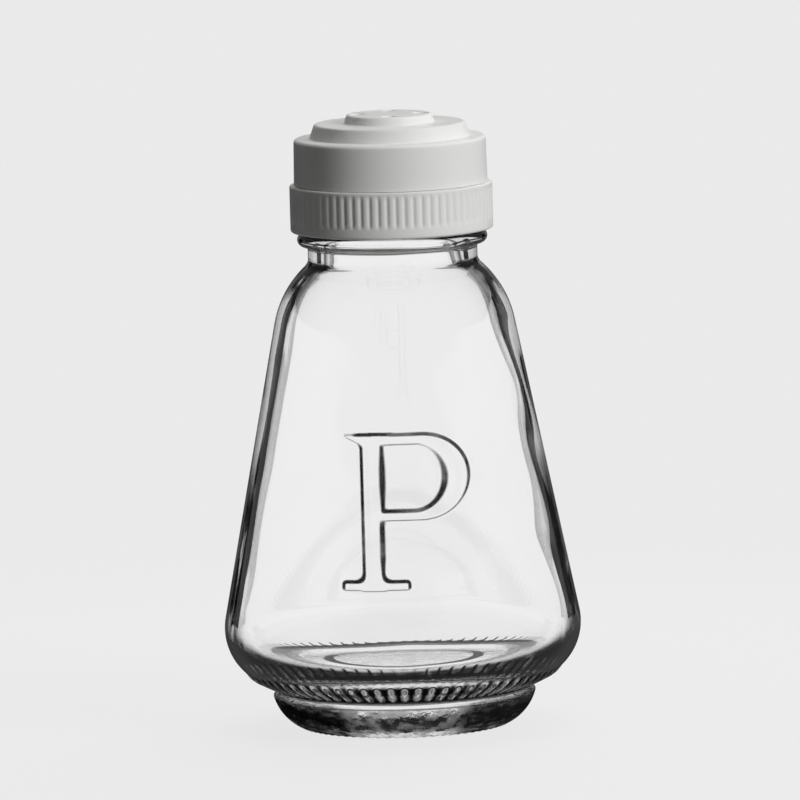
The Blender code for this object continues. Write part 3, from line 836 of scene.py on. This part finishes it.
def inner_path(bore_end):
    """Profile of the inside, from the end of the bore down to the middle of the floor."""
    shoulder = shoulder_arc(SHOULDER_ROUND - WALL, SHOULDER_END, CONE_ANGLE)
    heel = arc(HEEL_MIDDLE, HEEL_ROUND - WALL, CONE_ANGLE, 0.0, BOWL_STEP)
    bowl_middle = (heel[-1][0] - BOWL_REACH, HEEL_HEIGHT)
    heel += oval(bowl_middle, BOWL_REACH, HEEL_HEIGHT - INNER_FLOOR, 0.0, -90.0, BOWL_STEP)[1:]
    bore = [(*bore_end, 0.0), (BORE_RADIUS, BORE_FOOT, BORE_ROUND), (*shoulder[0], 0.0)]
    path = dense(rounded(bore)[1:], longest=1.9) + shoulder[1:-1]
    path += dense([shoulder[-1], heel[0]], longest=1.9) + heel[1:-1]
    return path + dense([heel[-1], (0.0, INNER_FLOOR)], longest=1.9)


def front_turns():
    """Turns round the axis, close together where the letter is."""
    fine = np.radians(np.arange(-30, 33, FINE_STEP))
    coarse = np.radians(np.arange(35.0, 328.0, COARSE_STEP))
    coarse = np.concatenate([coarse[coarse > math.pi] - math.tau, coarse[coarse <= math.pi]])
    return np.sort(np.concatenate([fine, coarse]))


def bottle_bands():
    """The glass from the middle of its push-up round the outside, over the lip and down the inside."""
    underside, foot_side, ribbed_heel = foot_paths()
    belly, lettered, upper = body_paths()
    finish = finish_path()
    return [
        (underside, even(PLAIN_TURNS), None),
        (foot_side, even(RIB_COUNT * 4), None),
        (ribbed_heel, even(RIB_COUNT * 8), None),
        (belly, even(PLAIN_TURNS), None),
        (lettered, front_turns(), letter_relief),
        (upper, even(PLAIN_TURNS), None),
        (finish, even(FINISH_TURNS), neck_relief),
        (inner_path(finish[-1]), even(PLAIN_TURNS), inner_ripple),
    ]


def make_bottle(tree):
    """The glass bottle, with a ribbed heel, a notched foot and the raised letter."""
    glass = clear_glass()
    bottle = place(lathe("bottle_glass", bottle_bands()), glass)
    mark_letter(bottle.data)
    mark_valleys(bottle.data)
    raise_ribs(
        bottle,
        tree,
        glass,
        Count=RIB_COUNT,
        Start=0.5,
        Rise=RIB_RISE * MM,
        Low=RIB_LOW * MM,
        High=RIB_HIGH * MM,
        Fade=RIB_FADE * MM,
        Width=RIB_WIDTH,
        Least_Radius=HEEL_END_RADIUS * MM,
    )
    raise_ribs(
        bottle,
        tree,
        glass,
        Count=NOTCH_COUNT,
        Start=0.0,
        Rise=-NOTCH_DEPTH * MM,
        Low=NOTCH_LOW * MM,
        High=NOTCH_HIGH * MM,
        Fade=NOTCH_FADE * MM,
        Width=NOTCH_WIDTH,
        Least_Radius=NOTCH_RADIUS * MM,
    )
    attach(bottle, "bottle")
    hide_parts("glass_bottle")


# Cap


def ring_relief(turns, radius, height):
    """The thread inside the skirt, half a pitch from the neck's."""
    in_skirt = ring_low.z + 0.3 < height < RING_SHELF - RING_CEILING - 0.1
    if not (in_skirt and radius < SKIRT_BORE + 0.1):
        return np.zeros(len(turns))
    sizes = {"foot": 0.85, "crest": 0.35, "low": 88.0, "high": 93.2}
    return thread_ridge(turns, height, start=0.5, rise=RING_THREAD_RISE, **sizes)


def make_ring(tree):
    """The screw ring: a grooved and threaded skirt, and a spigot that ends in a clamping flange."""
    dull, pale = (0.79, 0.79, 0.775), (0.86, 0.86, 0.845)
    white = moulded_plastic("ring_white", dull, pale, gloss=0.36, grain=0.12)
    base, top = ring_low.z, ring_high.z
    skirt_top = RING_SHELF - RING_CEILING
    skirt = [
        (SKIRT_BORE, base, 0.2),
        (RING_RADIUS, base, 0.45),
        (RING_RADIUS, RING_SHELF, 0.3),
        (SPIGOT_RADIUS, RING_SHELF, 0.1),
        (SPIGOT_RADIUS, SNAP_LOW, 0.0),
        (SNAP_ROOT, SNAP_LOW + SNAP_SLOPE, 0.1),
        (SNAP_ROOT, SNAP_HIGH - SNAP_SLOPE, 0.1),
        (SPIGOT_RADIUS, SNAP_HIGH, 0.0),
        (SPIGOT_RADIUS, top, 0.3),
        (CLAMP_BORE, top, 0.15),
        (CLAMP_BORE, top - CLAMP_THICK, 0.1),
        (SPIGOT_BORE, top - CLAMP_THICK, 0.1),
        (SPIGOT_BORE, skirt_top, 0.1),
        (SKIRT_BORE, skirt_top, 0.25),
    ]
    path = rounded(skirt)
    profile = dense(path + path[:1], longest=0.36)[:-1]
    ring = place(lathe("ring_skirt", [(profile, even(GRIP_COUNT * 8), ring_relief)], True), white)
    raise_ribs(
        ring,
        tree,
        white,
        Count=GRIP_COUNT,
        Start=0.0,
        Rise=-GRIP_DEPTH * MM,
        Low=GRIP_LOW * MM,
        High=GRIP_HIGH * MM,
        Fade=GRIP_FADE * MM,
        Width=GRIP_WIDTH,
        Least_Radius=GRIP_RADIUS * MM,
    )
    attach(ring, "ring")
    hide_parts("screw_ring")


def hole_tool(name, base, top, turn, flare):
    """Round tools for the shaker holes, with a countersunk mouth."""
    profile = [
        (0.0, base),
        (HOLE_RADIUS, base),
        (HOLE_RADIUS, top - flare),
        (HOLE_RADIUS + 2 * flare, top + flare),
        (0.0, top + flare),
    ]
    pin = lathe(name, [(profile, even(HOLE_TURNS), None)])
    points = np.array([vertex.co for vertex in pin.vertices])
    faces = [list(face.vertices) for face in pin.polygons]
    all_points, all_faces = [], []
    for hole in range(HOLE_COUNT):
        around = math.radians(turn + 360 * hole / HOLE_COUNT)
        shift = np.array((math.cos(around), math.sin(around), 0.0)) * HOLE_PITCH * MM
        all_faces += [[corner + hole * len(points) for corner in face] for face in faces]
        all_points.append(points + shift)
    tool = bpy.data.meshes.new(name)
    tool.from_pydata(np.concatenate(all_points).tolist(), [], all_faces)
    return place(tool)


def sector_tool(name, inner, outer, low, high, start, end):
    """A block between two radii and two heights, from start to end degrees from +X."""
    turns = np.radians(np.linspace(start, end, 15))
    corners = ((inner, low), (outer, low), (outer, high), (inner, high))
    points = [
        (radius * math.cos(turn) * MM, radius * math.sin(turn) * MM, height * MM)
        for turn in turns
        for radius, height in corners
    ]
    faces = [(3, 2, 1, 0), tuple(len(points) - 4 + corner for corner in range(4))]
    for step in range(len(turns) - 1):
        for corner in range(4):
            beside = (corner + 1) % 4
            first = 4 * step
            faces.append((first + corner, first + beside, first + 4 + beside, first + 4 + corner))
    tool = bpy.data.meshes.new(name)
    tool.from_pydata(points, [], faces)
    return place(tool)


def cut_cap_piece(piece, holes):
    """Drills the shaker holes and keeps the edges of a drilled piece crisp."""
    combine(piece, holes, "DIFFERENCE")
    piece.data.shade_smooth()
    piece.data.set_sharp_from_angle(angle=math.radians(SHARP_ANGLE))


def make_head():
    """The twist head: a stepped drum with a snap bead, a stop lug and the shaker holes."""
    dull, pale = (0.8, 0.8, 0.785), (0.87, 0.87, 0.855)
    white = moulded_plastic("head_white", dull, pale, gloss=0.34, grain=0.1)
    base, top = RING_SHELF + HEAD_GAP, head_high.z
    corners = [
        (0.0, HEAD_CEILING, 0.0),
        (HEAD_RECESS, HEAD_CEILING, 0.2),
        (HEAD_RECESS, HEAD_SHELF, 0.2),
        (HEAD_BORE, HEAD_SHELF, 0.3),
        (HEAD_BORE, HEAD_BEAD_HIGH, 0.0),
        (HEAD_BEAD, HEAD_BEAD_HIGH - HEAD_BEAD_SLOPE, 0.1),
        (HEAD_BEAD, HEAD_BEAD_LOW + HEAD_BEAD_SLOPE, 0.1),
        (HEAD_BORE, HEAD_BEAD_LOW, 0.0),
        (HEAD_BORE, base, 0.15),
        (head_high.x, base, 0.1),
        (LEDGE_OUTER, LEDGE_HEIGHT, 0.7),
        (LEDGE_INNER, LEDGE_HEIGHT, 0.3),
        (STEP_OUTER, STEP_HEIGHT, 0.5),
        (STEP_INNER, STEP_HEIGHT, 0.3),
        (BOSS_RADIUS, top, 0.4),
        (0.0, top, 0.0),
    ]
    profile = dense(rounded(corners), longest=0.6)
    head = place(lathe("head_drum", [(profile, even(HEAD_TURNS), None)]), white)
    heights = {"low": HEAD_CEILING - 0.7, "high": HEAD_CEILING + 0.7}
    lug = sector_tool("stop_lug", inner=8.8, outer=10.4, **heights, start=-6.0, end=6.0)
    combine(head, lug, "UNION")
    cut_cap_piece(head, hole_tool("head_hole", HEAD_CEILING - 0.5, top, turn=0.0, flare=0.22))
    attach(head, "head")
    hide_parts("twist_head")


def make_sifter():
    """The sifter: a plug and a flange under a drilled deck, with the slot that stops the lug."""
    dull, pale = (0.72, 0.73, 0.70), (0.80, 0.81, 0.78)
    natural = moulded_plastic("sifter_natural", dull, pale, gloss=0.45, grain=0.1)
    base, deck = sifter_low.z, sifter_high.z
    corners = [
        (0.0, deck - DECK_THICK, 0.0),
        (CUP_BORE, deck - DECK_THICK, 0.4),
        (CUP_BORE, FLANGE_HIGH, 0.2),
        (PLUG_BORE, FLANGE_LOW, 0.2),
        (PLUG_BORE, base, 0.15),
        (PLUG_RADIUS, base, 0.45),
        (PLUG_RADIUS, FLANGE_LOW, 0.1),
        (sifter_high.x, FLANGE_LOW, 0.15),
        (sifter_high.x, FLANGE_HIGH, 0.15),
        (CUP_RADIUS, FLANGE_HIGH, 0.2),
        (CUP_RADIUS, deck, 0.3),
        (0.0, deck, 0.0),
    ]
    profile = dense(rounded(corners), longest=0.6)
    sifter = place(lathe("sifter_cup", [(profile, even(INSERT_TURNS), None)]), natural)
    heights = {"low": deck - 1.0, "high": deck + 0.5}
    slot = sector_tool("stop_slot", inner=8.5, outer=10.7, **heights, start=-7.8, end=52.8)
    combine(sifter, slot, "DIFFERENCE")
    cut_cap_piece(sifter, hole_tool("sifter_hole", deck - 3.0, deck, turn=45.0, flare=0.1))
    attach(sifter, "dispenser")
    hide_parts("sifter_insert")


def make_seal():
    """The foamed washer between the lip and the sifter."""
    base, top = seal_low.z, seal_high.z
    corners = [
        (SEAL_BORE, base, SEAL_ROUND),
        (seal_high.x, base, SEAL_ROUND),
        (seal_high.x, top, SEAL_ROUND),
        (SEAL_BORE, top, SEAL_ROUND),
    ]
    path = rounded(corners)
    profile = dense(path + path[:1], longest=0.4)[:-1]
    washer = lathe("seal_washer", [(profile, even(INSERT_TURNS), None)], True)
    seal = place(washer, foamed_liner())
    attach(seal, "dispenser")
    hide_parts("lip_seal")


# Studio


def seen_rays(start):
    """1 for rays that show the studio itself: to the camera, in a reflection or through glass."""
    shown = ray(start, "Camera").maths("MAXIMUM", ray(start, "Glossy"))
    return shown.maths("MAXIMUM", ray(start, "Transmission"))


def mirrored_rays(start):
    """1 for rays that show the studio as a reflection on the outside of a piece."""
    return ray(start, "Glossy") * (1.0 - ray(start, "Transmission"))


def make_floor():
    """A pale floor that glows evenly. Near the shaker a share of it is matt and keeps the shadow."""
    start, end = new_finish("studio_floor")
    camera = ray(start, "Camera")
    pale = tint(start, camera, grey(FLOOR_GREY), grey(FLOOR_GREY_SEEN))
    matt = start.node("ShaderNodeBsdfDiffuse", None, {"Color": pale})
    x, y, _ = own_spot(start).parts()
    near = (x * x + y * y).maths("SQRT").ease(*SHADOW_FADE, 1.0, 0.0) * camera
    level = FLOOR_GLOW - camera * SEEN_DIMMER + near * NEAR_BRIGHTER
    level = level - mirrored_rays(start) * MIRROR_DIMMER
    white = tint(start, level, grey(0.0), grey(1.0))
    glow = start.node("ShaderNodeEmission", None, {"Color": white})
    share = seen_rays(start) - SHADOW_SHARE * near
    finish = end(start.node("ShaderNodeMixShader", None, {0: share, 1: matt, 2: glow}))
    ends = ((-1, -1), (1, -1), (1, 1), (-1, 1))
    floor = bpy.data.meshes.new("studio_floor")
    corners = [(x_end * FLOOR_REACH, y_end * FLOOR_REACH, -FLOOR_DROP) for x_end, y_end in ends]
    floor.from_pydata(corners, [], [(0, 1, 2, 3)])
    place(floor, finish)


def make_cards():
    """Upright dark cards behind the shaker, beside the view, that show as dark edges in the glass."""
    start, end = new_finish("dark_card")
    black = end(start.node("ShaderNodeEmission", None, {"Color": (*grey(NEAR_BLACK), 1.0)}))
    slopes = [math.tan(math.radians(turn)) for turn in CARD_TURNS]
    for side in (-1, 1):
        card = bpy.data.meshes.new("dark_card")
        corners = [
            (side * (CARD_EDGE + CARD_BACK * slope), CARD_BACK, height - CARD_DROP)
            for height in (0.0, CARD_TALL)
            for slope in slopes
        ]
        card.from_pydata(corners, [], [(0, 1, 3, 2)])
        card = place(card, black)
        card.visible_camera = card.visible_diffuse = card.visible_shadow = False


def make_studio():
    """The floor, the cards, and a world that is a pale wall low down and dimmer higher up."""
    make_floor()
    make_cards()
    world = bpy.data.worlds.new("studio")
    bpy.context.scene.world = world
    world.use_nodes = True
    tree = world.node_tree
    tree.nodes.clear()
    start = Wire(tree)
    _, _, upward = start.node("ShaderNodeTexCoord", None, None, "Generated").parts()
    camera, seen = ray(start, "Camera"), seen_rays(start)
    wall = upward.ease(*WALL_FADE, WALL_LOW, WALL_HIGH)
    wall = wall * (1.0 - WALL_MIRROR_DIMMER * mirrored_rays(start))
    level = camera * BACKDROP_LEVEL + (seen - camera) * wall + (1.0 - seen) * FILL_LEVEL
    sockets = {"Color": (*grey(1.0), 1.0), "Strength": level}
    back = start.node("ShaderNodeBackground", None, sockets)
    start.node("ShaderNodeOutputWorld", None, {"Surface": back})


def add_lamp(name, spot, size, power):
    """A soft square lamp, turned to the shaker, that no reflection and no glass shows."""
    light = bpy.data.lights.new(name, "AREA")
    light.size, light.energy = size, power
    lamp = bpy.data.objects.new(name, light)
    lamp.location = spot
    lamp.rotation_euler = (Vector(LAMP_AIM) - Vector(spot)).to_track_quat("-Z", "Y").to_euler()
    lamp.visible_glossy = lamp.visible_transmission = False
    bpy.context.scene.collection.objects.link(lamp)


def light_studio():
    """A key from the right, a soft top, and two soft lamps behind."""
    add_lamp("key_right", spot=(0.94, -0.77, 0.5), size=0.5, power=12.4)
    add_lamp("top_soft", spot=(0.1, 0.15, 1.1), size=0.6, power=5.2)
    add_lamp("back_soft", spot=(0.55, 0.95, 0.45), size=0.5, power=3.0)
    add_lamp("rear_soft", spot=(0.0, 1.1, 0.5), size=0.5, power=3.8)


def add_camera():
    """The photograph's view: a long lens a little above the shaker, turned slightly."""
    spot, aim = Vector(CAMERA_SPOT), Vector(CAMERA_AIM)
    lens = bpy.data.cameras.new("photo_view")
    lens.sensor_width = SENSOR_WIDTH
    lens.lens = FOCAL_LENGTH / PICTURE_SIZE * SENSOR_WIDTH
    lens.shift_x, lens.shift_y = SHIFT_X / PICTURE_SIZE, SHIFT_Y / PICTURE_SIZE
    lens.clip_start, lens.clip_end = CLIP_START, CLIP_END
    camera = bpy.data.objects.new("photo_view", lens)
    camera.location = spot
    roll = Quaternion((0, 0, 1), math.radians(CAMERA_ROLL))
    camera.rotation_mode = "QUATERNION"
    camera.rotation_quaternion = (aim - spot).to_track_quat("-Z", "Y") @ roll
    bpy.context.scene.collection.objects.link(camera)
    bpy.context.scene.camera = camera


ribs = rib_tree()
make_bottle(ribs)
make_ring(ribs)
make_head()
make_sifter()
make_seal()
make_studio()
light_studio()
add_camera()
bpy.context.scene.view_settings.view_transform = "Standard"
